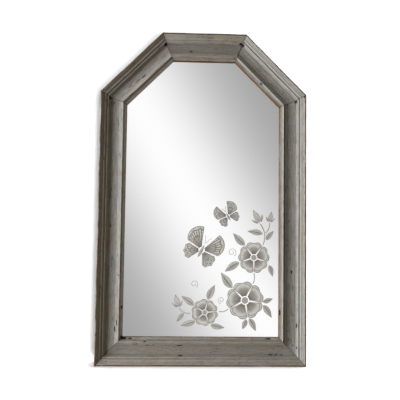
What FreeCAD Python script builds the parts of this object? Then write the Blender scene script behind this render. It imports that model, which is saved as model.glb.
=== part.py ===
import FreeCAD
import Part
import math
import os

# Engraved wall mirror in a six-sided moulded frame, in millimetres.
# +Z is up and the front faces -Y. The origin lies on the wall, midway between the two hanging rings' bars.

Vector = FreeCAD.Vector

# Frame: a rectangle whose two upper corners are cut off at 45 degrees
frame_width = 610.0
frame_height = 975.0
corner_cut_length = 180.0
rail_width = 74.0
frame_depth = 48.0

# Pane, board and the rebate that holds them
glass_thickness = 5.0
glass_clearance = 2.0
board_thickness = 3.0
back_recess = 4.0
rebate_width = 8.0
lip_thickness = 4.8

# Moulding's section: two radii, then points from the outer arris to the sight edge,
# each a share of the rail's width and a share of the height between sight edge and outer arris
arris_radius = 2.5
sight_radius = 0.8
land_end_shares = (0.054, 1.000)
bevel_end_shares = (0.155, 0.720)
first_tread_end_shares = (0.190, 0.711)
first_riser_end_shares = (0.245, 0.550)
second_tread_end_shares = (0.288, 0.530)
second_riser_end_shares = (0.356, 0.170)
cove_floor_shares = (0.500, 0.112)
cove_end_shares = (0.708, 0.195)
bead_foot_shares = (0.714, 0.235)
bead_swell_shares = (0.798, 0.372)
bead_top_shares = (0.864, 0.445)
crest_end_shares = (0.882, 0.445)
lip_start_shares = (0.940, 0.110)

# V-nails across the mitres, driven in from the back
nail_leg = 6.0
nail_thickness = 0.6
nail_height = 10.0
nail_place_shares = (0.26, 0.66)

# Glazing points that hold the board and the pane
point_pitch = 190.0
point_width = 9.0
point_thickness = 0.6
point_reach = 10.0
point_bite = 8.0
point_taper = 4.0
point_place_share = 0.5

# Setting blocks under the pane
block_length = 30.0
block_place_share = 0.5

# Hanging rings and straps
hanging_height = 650.0
ring_wire = 3.0
ring_clearance = 0.35
ring_side_play = 0.9
ring_bend_radius = 2.6
ring_side_length = 4.0
strap_thickness = 1.2
strap_width = 18.0
strap_corner_radius = 5.0
strap_end_margin = 3.0
eye_wrap_degrees = 296.0

# Wood screws of the straps
screw_head_radius = 3.7
screw_head_height = 2.2
screw_radius = 1.8
screw_length = 16.0
screw_tip_length = 4.0
screw_spacing = 18.0
screw_gap = 2.0
screw_hole_clearance = 0.2
screw_slot_width = 1.0
screw_slot_depth = 1.0
screw_slot_share = 0.62
screw_dome_share = 0.62

# Rubber bumpers that stand off the wall
bumper_height = 7.0
bumper_radius = 9.0
bumper_face_radius = 7.5
bumper_inset = 20.0

# Engraving: a spray of blossoms in the lower right corner with two butterflies.
# Its places and lengths are shares of the engraving's height, counted from its lower left corner.
# Its angles are degrees from +X.
engraving_height = 380.0
engraving_depth = 0.8
engraving_width_share = 0.782
engraving_side_margin = 16.0
engraving_foot_margin = 22.0
petal_gap = 1.4
petal_count = 5
stem_width = 2.8
tendril_width = 1.2

blossom_shares = (
    # x, z, radius, turn
    (0.560, 0.225, 0.150, 100),
    (0.628, 0.560, 0.125, 90),
    (0.245, 0.130, 0.105, -31),
)
blossom_eye_share = 0.17
petal_foot_share = 0.23
petal_notch_share = 0.09
petal_notch_spread_share = 0.30
petal_shoulder_share = 0.13
petal_waist_share = 0.74

leaf_shares = (
    # x, z, heading, length, width, bend
    (0.461, 0.321, 134, 0.150, 0.062, -0.12),
    (0.593, 0.087, -56, 0.112, 0.046, -0.10),
    (0.570, 0.079, -104, 0.082, 0.040, -0.10),
    (0.700, 0.214, 12, 0.084, 0.038, 0.12),
    (0.703, 0.189, -48, 0.118, 0.048, -0.12),
    (0.515, 0.523, 206, 0.138, 0.056, 0.12),
    (0.558, 0.656, 142, 0.134, 0.054, -0.12),
    (0.748, 0.502, -66, 0.094, 0.040, -0.10),
    (0.725, 0.698, 58, 0.094, 0.038, -0.10),
    (0.697, 0.748, 164, 0.122, 0.046, 0.12),
    (0.268, 0.227, 72, 0.128, 0.052, -0.12),
    (0.160, 0.182, 136, 0.122, 0.048, 0.12),
    (0.171, 0.064, 204, 0.118, 0.046, -0.12),
    (0.291, 0.033, -17, 0.112, 0.044, 0.12),
    (0.082, 0.122, -137, 0.084, 0.034, 0.12),
)
leaf_swell_share = 0.80

stem_shares = (
    # points of each run
    ((0.046, 0.164), (0.084, 0.129), (0.134, 0.124)),
    ((0.356, 0.140), (0.392, 0.138), (0.428, 0.158)),
    ((0.622, 0.356), (0.634, 0.398), (0.629, 0.440)),
    ((0.700, 0.662), (0.713, 0.744), (0.677, 0.828)),
    ((0.7205, 0.7520), (0.744, 0.786), (0.751, 0.834)),
)
tendril_shares = (
    # x and z of the curl's centre, its radius, its first angle and its turns
    (0.455, 0.600, 0.034, -60, 1.35),
    (0.160, 0.350, 0.030, 300, 1.30),
    (0.374, 0.226, 0.027, -90, -1.30),
)
tendril_end_share = 0.30

bud_shares = (
    # x, z, heading, length
    (0.673, 0.836, 118, 0.115),
    (0.041, 0.171, 106, 0.098),
    (0.752, 0.842, 80, 0.084),
)
bud_width_share = 0.42
sepal_side_share = 0.10
sepal_length_share = 0.55
sepal_width_share = 0.13
sepal_spread_share = 0.47
sepal_bend = 0.10

butterfly_shares = (
    # x, z, wing length, heading
    (0.215, 0.615, 0.190, 62),
    (0.420, 0.885, 0.120, 118),
)
wing_shares = (
    # mid angle and half angle as shares of a right angle from the heading, length, apex, drop, ripple
    (0.58, 0.335, 1.00, -0.50, 0.125, 0.00),
    (1.32, 0.340, 0.74, 0.10, 0.140, 0.028),
)
wing_foot_share = 0.135
wing_waist_share = 0.86
wing_ripples = 3
body_length_share = 0.58
body_width_share = 0.12
body_tail_share = 0.33
antenna_shares = ((0.30, 0.03), (0.46, 0.06), (0.62, 0.15))

# Samples along each free outline, and how far cutting tools pass a face
outline_steps = 8
cut_overrun = 2.0

# Levels and places that follow from the sizes above
back_y = -bumper_height
rebate_depth = glass_thickness + board_thickness + back_recess
sight_height = rebate_depth + lip_thickness
flat_back_width = rail_width - rebate_width
bottom_z = -hanging_height
top_z = frame_height - hanging_height
pane_front_y = back_y - rebate_depth
eye_radius = ring_wire / 2 + ring_clearance + strap_thickness
bar_y = back_y + eye_radius
hanger_x = frame_width / 2 - flat_back_width / 2
ring_half_width = strap_width / 2 + ring_side_play + ring_bend_radius
ring_drop = ring_bend_radius + ring_side_length + ring_half_width + ring_wire / 2
upper_screw_z = -(ring_drop + screw_gap + screw_head_radius)
lower_screw_z = upper_screw_z - screw_spacing
strap_end_z = lower_screw_z - screw_head_radius - strap_end_margin
engraving_left = (frame_width / 2 - rail_width - engraving_side_margin
                  - engraving_width_share * engraving_height)
engraving_foot = bottom_z + rail_width + engraving_foot_margin

rail_names = (
    "bottom_rail", "right_stile", "upper_right_rail",
    "top_rail", "upper_left_rail", "left_stile",
)


def corners(inset):
    """The frame's six corners moved in by inset, anticlockwise from the lower left, from the front."""
    half = frame_width / 2 - inset
    low = bottom_z + inset
    high = top_z - inset
    slant = frame_width / 2 + top_z - corner_cut_length - inset * math.sqrt(2)
    return [
        Vector(-half, 0, low),
        Vector(half, 0, low),
        Vector(half, 0, slant - half),
        Vector(slant - high, 0, high),
        Vector(high - slant, 0, high),
        Vector(-half, 0, slant - half),
    ]


def side(index, inset):
    """One side of the outline: its two corners, its direction and its inward normal."""
    outline = corners(inset)
    first = outline[index]
    second = outline[(index + 1) % len(outline)]
    along = (second - first).normalize()
    return first, second, along, Vector(-along.z, 0, along.x)


def slab(outline, low, high):
    """A plate of the given outline, between two heights above the frame's back."""
    lift = Vector(0, back_y - low, 0)
    points = [point + lift for point in outline]
    face = Part.Face(Part.makePolygon(points + points[:1]))
    return face.extrude(Vector(0, low - high, 0))


def line(first, second):
    return Part.LineSegment(first, second).toShape()


def arc(first, middle, last):
    return Part.Arc(first, middle, last).toShape()


def spline(points):
    curve = Part.BSplineCurve()
    curve.interpolate(points)
    return curve.toShape()


def moulding_section(place):
    """The moulding's cross section, with place(across, up) giving each point."""

    def at(shares):
        across_share, up_share = shares
        return place(across_share * rail_width, sight_height + up_share * (frame_depth - sight_height))

    bulge = 1 - math.sqrt(0.5)
    lip_edge = place(rail_width - sight_radius, sight_height)
    sight_edge = place(rail_width, sight_height - sight_radius)
    treads = [at(shares) for shares in (
        land_end_shares, bevel_end_shares, first_tread_end_shares, first_riser_end_shares,
        second_tread_end_shares, second_riser_end_shares)]
    edges = [
        line(place(0, 0), place(0, frame_depth - arris_radius)),
        arc(place(0, frame_depth - arris_radius),
            place(arris_radius * bulge, frame_depth - arris_radius * bulge),
            place(arris_radius, frame_depth)),
        line(place(arris_radius, frame_depth), treads[0]),
    ]
    edges += [line(first, second) for first, second in zip(treads, treads[1:])]
    edges += [
        arc(treads[-1], at(cove_floor_shares), at(cove_end_shares)),
        line(at(cove_end_shares), at(bead_foot_shares)),
        arc(at(bead_foot_shares), at(bead_swell_shares), at(bead_top_shares)),
        line(at(bead_top_shares), at(crest_end_shares)),
        line(at(crest_end_shares), at(lip_start_shares)),
        line(at(lip_start_shares), lip_edge),
        arc(lip_edge,
            place(rail_width - sight_radius * bulge, sight_height - sight_radius * bulge),
            sight_edge),
        line(sight_edge, place(rail_width, rebate_depth)),
        line(place(rail_width, rebate_depth), place(flat_back_width, rebate_depth)),
        line(place(flat_back_width, rebate_depth), place(flat_back_width, 0)),
        line(place(flat_back_width, 0), place(0, 0)),
    ]
    return Part.Face(Part.Wire(edges))


def rail(index):
    """One length of moulding, mitred where it meets its neighbours."""
    first, second, along, inward = side(index, 0)
    start = first - along * cut_overrun

    def place(across, up):
        return start + inward * across + Vector(0, back_y - up, 0)

    length = (second - first).Length + cut_overrun + cut_overrun
    bar = moulding_section(place).extrude(along * length)
    outer_first, outer_second = side(index, -cut_overrun)[:2]
    inner_first, inner_second = side(index, rail_width + cut_overrun)[:2]
    outline = [outer_first, outer_second, inner_second, inner_first]
    return bar.common(slab(outline, -cut_overrun, frame_depth + cut_overrun))


def v_nail(index, inset):
    """A bent steel strip astride one mitre, flush with the frame's back."""
    tip = corners(inset)[index]
    mitre = (corners(inset + nail_leg)[index] - tip).normalize()
    across = Vector(-mitre.z, 0, mitre.x)
    left = (mitre + across).normalize()
    right = (mitre - across).normalize()
    outline = [
        tip,
        tip + left * nail_leg,
        tip + left * nail_leg + right * nail_thickness,
        tip + left * nail_thickness + right * nail_thickness,
        tip + right * nail_leg + left * nail_thickness,
        tip + right * nail_leg,
    ]
    return slab(outline, 0, nail_height)


def corner_v_nails():
    nails = []
    for index in range(len(rail_names)):
        nails += [v_nail(index, share * flat_back_width) for share in nail_place_shares]
    return nails


def glazing_points():
    """Flat points driven into the rebate's wall, each lying on the board's back."""
    points = []
    for index in range(len(rail_names)):
        first, second, along, inward = side(index, flat_back_width)
        length = (second - first).Length
        count = max(1, round(length / point_pitch))
        for place in range(count):
            foot = first + along * (length * (place + point_place_share) / count)
            half = along * (point_width / 2)
            end = foot + inward * point_reach
            shoulder = foot - inward * (point_bite - point_taper)
            tip = foot - inward * point_bite
            outline = [end - half, end + half, shoulder + half, tip, shoulder - half]
            points.append(slab(outline, back_recess - point_thickness, back_recess))
    return points


def setting_blocks():
    """Two blocks that fill the gap between the rebate's floor and the pane's lower edge."""
    floor = bottom_z + flat_back_width
    half_pane = frame_width / 2 - flat_back_width - glass_clearance
    blocks = []
    for hand in (-1, 1):
        middle = hand * block_place_share * half_pane
        outline = [
            Vector(middle - block_length / 2, 0, floor),
            Vector(middle + block_length / 2, 0, floor),
            Vector(middle + block_length / 2, 0, floor + glass_clearance),
            Vector(middle - block_length / 2, 0, floor + glass_clearance),
        ]
        blocks.append(slab(outline, rebate_depth - glass_thickness, rebate_depth))
    return blocks


def motif_place(x_share, z_share):
    x = engraving_left + x_share * engraving_height
    z = engraving_foot + z_share * engraving_height
    return Vector(x, pane_front_y, z)


def polar(centre, radius, angle):
    return centre + Vector(radius * math.cos(angle), 0, radius * math.sin(angle))


def fan(centre, facing, half_angle, foot, reach, waist):
    """Outline of a petal or wing, from a foot radius out to reach(t), with t from -1 to 1 across it."""

    def point(out, across):
        spread = waist + (1 - waist) * (1 - (1 - out) ** 2)
        return polar(centre, foot + (reach(across) - foot) * out, facing + half_angle * across * spread)

    rising = [step / outline_steps for step in range(outline_steps + 1)]
    crossing = [step / outline_steps for step in range(-outline_steps, outline_steps + 1)]
    return Part.Wire([
        spline([point(0, across) for across in crossing]),
        spline([point(out, 1) for out in rising]),
        spline([point(1, -across) for across in crossing]),
        spline([point(1 - out, -1) for out in rising]),
    ])


def leaf(base, heading, length, width, bend):
    """Outline of a pointed leaf whose midrib bends to one side."""
    along = Vector(math.cos(heading), 0, math.sin(heading))
    across = Vector(-along.z, 0, along.x)

    def point(out, hand):
        half = width / 2 * math.sin(math.pi * out ** leaf_swell_share)
        return base + along * (length * out) + across * (hand * half + bend * length * out ** 2)

    rising = [step / outline_steps for step in range(outline_steps + 1)]
    return Part.Wire([
        spline([point(out, 1) for out in rising]),
        spline([point(1 - out, -1) for out in rising]),
    ])


def ribbon(points, width):
    """Outline of a stem of even width along a smooth line through the points."""
    middle = Part.BSplineCurve()
    middle.interpolate(points)
    first, last = middle.FirstParameter, middle.LastParameter
    left, right = [], []
    for step in range(outline_steps + 1):
        where = first + (last - first) * step / outline_steps
        along = middle.tangent(where)[0]
        across = Vector(-along.z, 0, along.x) * (width / 2)
        left.append(middle.value(where) + across)
        right.append(middle.value(where) - across)
    return Part.Wire([
        spline(left),
        line(left[-1], right[-1]),
        spline(right[::-1]),
        line(right[0], left[0]),
    ])


def rosette(centre, radius):
    """Outline of a blossom's eye, lightly lobed."""
    lobes = petal_count + petal_count
    points = []
    for step in range(lobes * 4):
        angle = math.tau * step / (lobes * 4)
        points.append(polar(centre, radius * (1 + math.cos(lobes * angle) / (lobes + lobes)), angle))
    curve = Part.BSplineCurve()
    curve.interpolate(points, True)
    return Part.Wire([curve.toShape()])


def blossom(x_share, z_share, radius_share, turn):
    centre = motif_place(x_share, z_share)
    radius = radius_share * engraving_height

    def reach(across):
        notch = petal_notch_share * math.exp(-(across / petal_notch_spread_share) ** 2)
        return radius * (1 - notch - petal_shoulder_share * across ** 4)

    half_angle = math.pi / petal_count - petal_gap / (radius + radius)
    outlines = [rosette(centre, blossom_eye_share * radius)]
    for petal in range(petal_count):
        facing = math.radians(turn) + math.tau * petal / petal_count
        foot = petal_foot_share * radius
        outlines.append(fan(centre, facing, half_angle, foot, reach, petal_waist_share))
    return outlines


def bud(x_share, z_share, heading, length_share):
    """A closed bud between two sepals that spread from its foot."""
    base = motif_place(x_share, z_share)
    length = length_share * engraving_height
    facing = math.radians(heading)
    across = Vector(-math.sin(facing), 0, math.cos(facing))
    outlines = [leaf(base, facing, length, bud_width_share * length, 0)]
    for hand in (-1, 1):
        foot = base + across * (hand * sepal_side_share * length)
        spread = facing + hand * sepal_spread_share * math.pi / 2
        sepal_length = sepal_length_share * length
        sepal_width = sepal_width_share * length
        outlines.append(leaf(foot, spread, sepal_length, sepal_width, -hand * sepal_bend))
    return outlines


def butterfly(x_share, z_share, wing_share, heading):
    centre = motif_place(x_share, z_share)
    length = wing_share * engraving_height
    facing = math.radians(heading)
    along = Vector(math.cos(facing), 0, math.sin(facing))
    tail = centre - along * (body_tail_share * length)
    outlines = [leaf(tail, facing, body_length_share * length, body_width_share * length, 0)]
    for hand in (-1, 1):
        across = Vector(-along.z, 0, along.x) * hand
        for mid_share, half_share, wing_length_share, apex, drop, ripple in wing_shares:

            def reach(place):
                outward = place * hand
                wave = ripple * math.cos(wing_ripples * math.pi * outward)
                return length * wing_length_share * (1 - drop * (outward - apex) ** 2 + wave)

            middle = facing + hand * mid_share * math.pi / 2
            half_angle = half_share * math.pi / 2
            foot = wing_foot_share * length
            outlines.append(fan(centre, middle, half_angle, foot, reach, wing_waist_share))
        feeler = [centre + along * (out_share * length) + across * (side_share * length)
                  for out_share, side_share in antenna_shares]
        outlines.append(ribbon(feeler, tendril_width))
    return outlines


def tendril(x_share, z_share, radius_share, first_angle, turns):
    """Outline of a curl that winds in towards its centre."""
    centre = motif_place(x_share, z_share)
    points = []
    for step in range(outline_steps + 1):
        done = step / outline_steps
        radius = radius_share * engraving_height * (1 - (1 - tendril_end_share) * done)
        points.append(polar(centre, radius, math.radians(first_angle) + math.tau * turns * done))
    return ribbon(points, tendril_width)


def engraving_cuts():
    """The shallow pockets of the engraving, as tools that start in front of the pane."""
    outlines = []
    for shares in blossom_shares:
        outlines += blossom(*shares)
    for x_share, z_share, heading, length_share, width_share, bend in leaf_shares:
        base = motif_place(x_share, z_share)
        length = length_share * engraving_height
        width = width_share * engraving_height
        outlines.append(leaf(base, math.radians(heading), length, width, bend))
    for shares in bud_shares:
        outlines += bud(*shares)
    for run in stem_shares:
        outlines.append(ribbon([motif_place(*shares) for shares in run], stem_width))
    for shares in tendril_shares:
        outlines.append(tendril(*shares))
    for shares in butterfly_shares:
        outlines += butterfly(*shares)
    tools = []
    for outline in outlines:
        outline.translate(Vector(0, -cut_overrun, 0))
        tools.append(Part.Face(outline).extrude(Vector(0, cut_overrun + engraving_depth, 0)))
    return tools


def mirror_glass():
    outline = corners(flat_back_width + glass_clearance)
    pane = slab(outline, rebate_depth - glass_thickness, rebate_depth)
    return pane.cut(engraving_cuts())


def backing_board():
    outline = corners(flat_back_width + glass_clearance)
    return slab(outline, back_recess, back_recess + board_thickness)


def screw(x, z):
    """A pan-head wood screw driven in from the back, its head seated on the strap."""
    seat_y = back_y + strap_thickness
    into = Vector(0, -1, 0)
    seat = Vector(x, seat_y, z)
    shank = Part.makeCylinder(screw_radius, screw_length - screw_tip_length, seat, into)
    tip_start = seat + into * (screw_length - screw_tip_length)
    tip = Part.makeCone(screw_radius, 0, screw_tip_length, tip_start, into)
    head = Part.makeCylinder(screw_head_radius, screw_head_height, seat, -into)
    rim = [edge for edge in head.Edges if edge.BoundBox.YMin > seat_y + screw_head_height / 2]
    head = head.makeFillet(screw_head_height * screw_dome_share, rim)
    slot_length = screw_slot_share * screw_head_radius * 2
    slot_y = seat_y + screw_head_height - screw_slot_depth
    for size_x, size_z in ((slot_length, screw_slot_width), (screw_slot_width, slot_length)):
        corner = Vector(x - size_x / 2, slot_y, z - size_z / 2)
        head = head.cut(Part.makeBox(size_x, screw_slot_depth + cut_overrun, size_z, corner))
    return head.fuse([shank, tip]).removeSplitter()


def hanger_screws(x):
    return [screw(x, z) for z in (upper_screw_z, lower_screw_z)]


def hanger_strap(x):
    """A steel strap whose upper end is rolled into an eye around the ring's bar."""
    inner_radius = eye_radius - strap_thickness

    def place(radius, degrees):
        turn = math.radians(degrees)
        return Vector(x - strap_width / 2, bar_y - radius * math.cos(turn), radius * math.sin(turn))

    half_wrap = eye_wrap_degrees / 2
    edges = [
        line(Vector(x - strap_width / 2, back_y, strap_end_z), place(eye_radius, 0)),
        arc(place(eye_radius, 0), place(eye_radius, half_wrap), place(eye_radius, eye_wrap_degrees)),
        line(place(eye_radius, eye_wrap_degrees), place(inner_radius, eye_wrap_degrees)),
        arc(place(inner_radius, eye_wrap_degrees), place(inner_radius, half_wrap), place(inner_radius, 0)),
        line(place(inner_radius, 0), Vector(x - strap_width / 2, back_y + strap_thickness, strap_end_z)),
        line(Vector(x - strap_width / 2, back_y + strap_thickness, strap_end_z),
             Vector(x - strap_width / 2, back_y, strap_end_z)),
    ]
    strap = Part.Face(Part.Wire(edges)).extrude(Vector(strap_width, 0, 0))
    low_edges = [edge for edge in strap.Edges if edge.BoundBox.ZMax < lower_screw_z]
    corner_edges = [edge for edge in low_edges if edge.BoundBox.XLength < strap_thickness]
    strap = strap.makeFillet(strap_corner_radius, corner_edges)
    hole_radius = screw_radius + screw_hole_clearance
    for z in (upper_screw_z, lower_screw_z):
        start = Vector(x, back_y - cut_overrun, z)
        hole_length = cut_overrun + strap_thickness + cut_overrun
        strap = strap.cut(Part.makeCylinder(hole_radius, hole_length, start, Vector(0, 1, 0)))
    return strap


def hanger_ring(x):
    """A D-shaped wire ring that hangs from its straight bar."""
    half = ring_half_width
    bend = ring_bend_radius
    low = bend + ring_side_length
    bulge = bend * (1 - math.sqrt(0.5))

    def place(across, drop):
        return Vector(x + across, bar_y, -drop)

    path = Part.Wire([
        line(place(0, 0), place(half - bend, 0)),
        arc(place(half - bend, 0), place(half - bulge, bulge), place(half, bend)),
        line(place(half, bend), place(half, low)),
        arc(place(half, low), place(0, low + half), place(-half, low)),
        line(place(-half, low), place(-half, bend)),
        arc(place(-half, bend), place(bulge - half, bulge), place(bend - half, 0)),
        line(place(bend - half, 0), place(0, 0)),
    ])
    circle = Part.Wire(Part.makeCircle(ring_wire / 2, place(0, 0), Vector(1, 0, 0)))
    return path.makePipeShell([circle], True, False)


def wall_bumpers():
    """Tapered rubber bumpers on the bottom rail's back, with a flat face on the wall."""
    bumpers = []
    from_middle = frame_width / 2 - rail_width - bumper_inset
    for hand in (-1, 1):
        foot = Vector(hand * from_middle, back_y, bottom_z + flat_back_width / 2)
        wall = Vector(0, 1, 0)
        bumpers.append(Part.makeCone(bumper_radius, bumper_face_radius, bumper_height, foot, wall))
    return bumpers


def save(name, solids):
    shape = solids[0] if len(solids) == 1 else Part.makeCompound(solids)
    shape.exportStep("parts/" + name + ".step")


def main():
    os.makedirs("parts", exist_ok=True)
    nails = corner_v_nails()
    points = glazing_points()
    left_screws = hanger_screws(-hanger_x)
    right_screws = hanger_screws(hanger_x)
    driven = nails + points + left_screws + right_screws
    for index, name in enumerate(rail_names):
        save(name, [rail(index).cut(driven)])
    save("corner_v_nails", nails)
    save("glazing_points", points)
    save("setting_blocks", setting_blocks())
    save("mirror_glass", [mirror_glass()])
    save("backing_board", [backing_board()])
    save("wall_bumpers", wall_bumpers())
    for name, x, screws in (("left", -hanger_x, left_screws), ("right", hanger_x, right_screws)):
        save(name + "_hanger_strap", [hanger_strap(x)])
        save(name + "_hanger_ring", [hanger_ring(x)])
        save(name + "_hanger_screws", screws)


main()
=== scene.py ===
import bpy
import bmesh
import math
from mathutils import Matrix, Vector


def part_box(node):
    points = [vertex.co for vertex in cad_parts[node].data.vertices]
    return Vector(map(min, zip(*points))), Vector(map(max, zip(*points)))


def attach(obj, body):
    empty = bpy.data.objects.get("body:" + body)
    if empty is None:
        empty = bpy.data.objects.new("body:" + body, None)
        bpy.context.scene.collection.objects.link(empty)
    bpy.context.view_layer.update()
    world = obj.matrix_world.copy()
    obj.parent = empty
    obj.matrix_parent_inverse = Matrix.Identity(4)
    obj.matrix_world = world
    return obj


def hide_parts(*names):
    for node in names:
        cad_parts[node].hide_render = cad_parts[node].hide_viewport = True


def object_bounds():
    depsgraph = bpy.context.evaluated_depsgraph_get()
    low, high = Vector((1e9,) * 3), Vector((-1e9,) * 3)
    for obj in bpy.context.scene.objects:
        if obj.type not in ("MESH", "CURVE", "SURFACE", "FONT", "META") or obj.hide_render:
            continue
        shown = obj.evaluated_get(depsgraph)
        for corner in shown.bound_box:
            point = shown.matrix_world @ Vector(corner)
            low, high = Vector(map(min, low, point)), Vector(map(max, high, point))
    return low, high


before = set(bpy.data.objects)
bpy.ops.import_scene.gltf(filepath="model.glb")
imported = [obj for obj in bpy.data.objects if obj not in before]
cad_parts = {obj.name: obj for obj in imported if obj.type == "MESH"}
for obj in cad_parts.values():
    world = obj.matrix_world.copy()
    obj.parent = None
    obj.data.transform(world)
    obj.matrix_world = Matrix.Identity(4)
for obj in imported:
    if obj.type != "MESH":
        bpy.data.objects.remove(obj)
cad_low, cad_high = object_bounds()

mm = 0.001

# Sizes read from the solids
bottom_low, bottom_high = (Vector(corner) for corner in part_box("bottom_rail"))
top_high = Vector(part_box("top_rail")[1])
frame_half_width = bottom_high.x
frame_foot = bottom_low.z
frame_top = top_high.z
rail_width = bottom_high.z - bottom_low.z
back_level = bottom_high.y
frame_depth = back_level - bottom_low.y
corner_cut = frame_half_width - top_high.x
pane_front = Vector(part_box("mirror_glass")[0]).y

# Moulding's section, as in the solids: shares of the rail's width and of the height above the sight edge
lip_thickness = 4.8 * mm
rebate_width = 8 * mm
rebate_depth = back_level - pane_front
sight_height = rebate_depth + lip_thickness
arris_radius = 2.5 * mm
sight_radius = 0.8 * mm
land_and_step_shares = (
    (0.054, 1.000), (0.155, 0.720), (0.190, 0.711), (0.245, 0.550), (0.288, 0.530), (0.356, 0.170),
)
cove_shares = ((0.356, 0.170), (0.500, 0.112), (0.708, 0.195))
bead_shares = ((0.714, 0.235), (0.798, 0.372), (0.864, 0.445))
crest_and_lip_shares = ((0.882, 0.445), (0.940, 0.110))
arris_steps, cove_steps, bead_steps, sight_steps = 6, 16, 8, 3

# Worn corners of the section, and the spacing of its points on the front, on the back and along the rail
worn_radius = 0.9 * mm
worn_turn = math.radians(14)
worn_edge_share = 0.4
worn_curve_shares = (0.0, 0.33, 0.67, 1.0)
front_spacing = 1.3 * mm
back_spacing = 7 * mm
length_spacing = 2.0 * mm
grown_sharp_angle = math.radians(50)
level_margin = 0.1 * mm
paint_overlap = 1.5 * mm
outer_paint_width = 1 * mm

# Bare wood, and soil with painted shade in the creases, across the moulding: up to which share of its width,
# how much, and how far it spreads
rub_reach = 1.1 * mm
bare_steps = (
    (0.06, 1.0, 2.3 * mm), (0.80, 0.15, 1.1 * mm), (0.84, 0.15, 1.8 * mm), (0.91, 0.75, 1.8 * mm),
    (0.94, 0.15, 1.8 * mm), (math.inf, 1.0, 2.3 * mm),
)
quirk_steps = (
    (0.20, 0.3, 1.3 * mm), (0.32, 1.5, 1.3 * mm), (0.90, 0.6, 1.3 * mm), (math.inf, 1.0, 3.6 * mm),
)

# Finish of each rail, its painted shade and highlights included, anticlockwise from the bottom, with shares
# in the order of the inputs
finish_inputs = ("Cove soil and shade", "Quirk soil and shade", "Bead shade", "Lip soil and shade", "Step highlight", "Lip highlight",
                 "Step stain", "Warmth", "Arris wear", "Crest wear", "Sight wear")
# The cove's and the creases' shares darken with soil and painted shade, the bead's darkens with painted
# shade on its flank, and the shares that lighten steps and lips are painted highlights
rail_finish = {
    "bottom_rail": (0.26, 0.35, 0.0, 0.0, 0.22, 0.12, 0.0, 0.22, 0.85, 0.45, 0.60),
    "right_stile": (0.05, 1.0, 0.75, 0.60, 1.0, 0.0, 0.0, 0.0, 0.85, 0.20, 0.80),
    "upper_right_rail": (0.14, 0.90, 0.28, 0.90, 0.75, 0.0, 0.0, 0.05, 0.85, 0.30, 0.95),
    "top_rail": (0.50, 0.30, 0.0, 0.0, 0.12, 0.0, 0.0, 0.18, 1.6, 0.80, 1.1),
    "upper_left_rail": (0.0, 0.60, 0.0, 0.0, 0.80, 0.85, 0.30, 0.08, 0.70, 1.0, 0.40),
    "left_stile": (0.0, 0.60, 0.0, 0.0, 0.72, 0.75, 0.50, 0.0, 0.70, 0.40, 0.30),
}

# Bands across the moulding, as shares of its width: where each rises and where it falls
joint_band = ((0.28, 0.40), (0.80, 0.90))
step_band = ((0.01, 0.04), (0.33, 0.37))
# Cove band: soil with painted shade in the hollow; flank band: painted shade on the bead's flank
cove_band = ((0.30, 0.38), (0.66, 0.76))
flank_band = ((0.76, 0.83), (0.855, 0.885))
crest_band = ((0.81, 0.83), (0.91, 0.92))
arris_fall_shares = (0.04, 0.07)
tan_rise_shares = (0.80, 0.84)
lip_crease_rise_shares = (0.89, 0.90)
lip_rise_shares = (0.92, 0.94)

# Depths of the wear, and the width of a mitre's dirty line and of the sound wood beside it
rub_depth = 0.35 * mm
streak_depth = 0.16 * mm
knock_depth = 1.5 * mm
mitre_line = (0.2 * mm, 1.8 * mm)
mitre_margin = 3 * mm
seed_step = 0.37

# Joints that have opened: the gap at each rail's first and second mitre
joint_gaps = {"top_rail": (0.9 * mm, 0.0), "upper_right_rail": (0.0, 0.54 * mm)}

# Knocks, pits and worm tracks: millimetres along the rail, share across it, half length and half width
knocks = {
    "left_stile": (
        (13, 0.345, 3.4, 2.4), (27, 0.505, 2, 1.2), (394.7, 0.463, 3, 1.5), (539, 0.819, 3.2, 1.2),
        (572, 0.182, 4, 1.3), (634, 0.965, 7, 1.9), (677, 0.796, 8, 1.2), (696, 0.72, 9, 1.8),
        (705, 0.06, 4.5, 1.5), (722, 0.965, 5, 2.2),
    ),
    "upper_left_rail": (
        (11.5, 0.345, 4.6, 2.6), (129, 0.66, 8, 1.5), (150, 0.615, 9, 0.9), (179, 0.565, 8, 0.8),
    ),
    "top_rail": (
        (165.6, 0.609, 2.8, 2), (14.5, 0.31, 6.5, 2), (34, 0.881, 5, 1.3), (90, 0.47, 5, 0.8),
    ),
    "upper_right_rail": (
        (242, 0.33, 3.4, 2.2), (119.7, 0.901, 2.6, 1.5),
    ),
    "right_stile": (
        (781.5, 0.352, 4, 2), (790, 0.086, 3.2, 1.3), (269, 0.489, 4.2, 1.9), (111.7, 0.324, 8, 1.3),
        (53, 0.444, 3.2, 1.2), (47.8, 0.323, 4, 1.3), (147.7, 0.965, 9, 1.8), (420, 0.59, 2.6, 1.1),
        (94, 0.64, 2.4, 1), (67, 0.51, 2.6, 1.2), (86, 0.7, 2, 0.9), (70, 0.61, 2.2, 1),
    ),
    "bottom_rail": (
        (78, 0.965, 9, 2), (98, 0.96, 9, 1.5), (142, 0.88, 3, 1.7), (114, 0.762, 9, 1.1),
        (149, 0.712, 6, 1.6), (168, 0.716, 3.5, 1.2), (243, 0.705, 10, 1.8), (246, 0.33, 8, 1),
        (504, 0.965, 9, 1.7), (511, 0.359, 5, 1.2), (526, 0.353, 3, 1), (544, 0.354, 3, 1.1),
        (352, 0.56, 4, 0.8),
    ),
}
knock_stretch = 2.6
knock_spacing_share = 1.4

# Engraving, as in the solids: shares of its height from its lower left corner, and degrees
engraving_height = 380 * mm
engraving_width_share = 0.782
engraving_side_margin = 16 * mm
engraving_foot_margin = 22 * mm
engraving_depth = 0.8 * mm
sight_right = frame_half_width - rail_width
engraving_left = sight_right - engraving_side_margin - engraving_width_share * engraving_height
engraving_foot = frame_foot + rail_width + engraving_foot_margin

# Blossoms: x, z, radius and turn
blossoms = ((0.560, 0.225, 0.150, 100), (0.628, 0.560, 0.125, 90), (0.245, 0.130, 0.105, -31))

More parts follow.
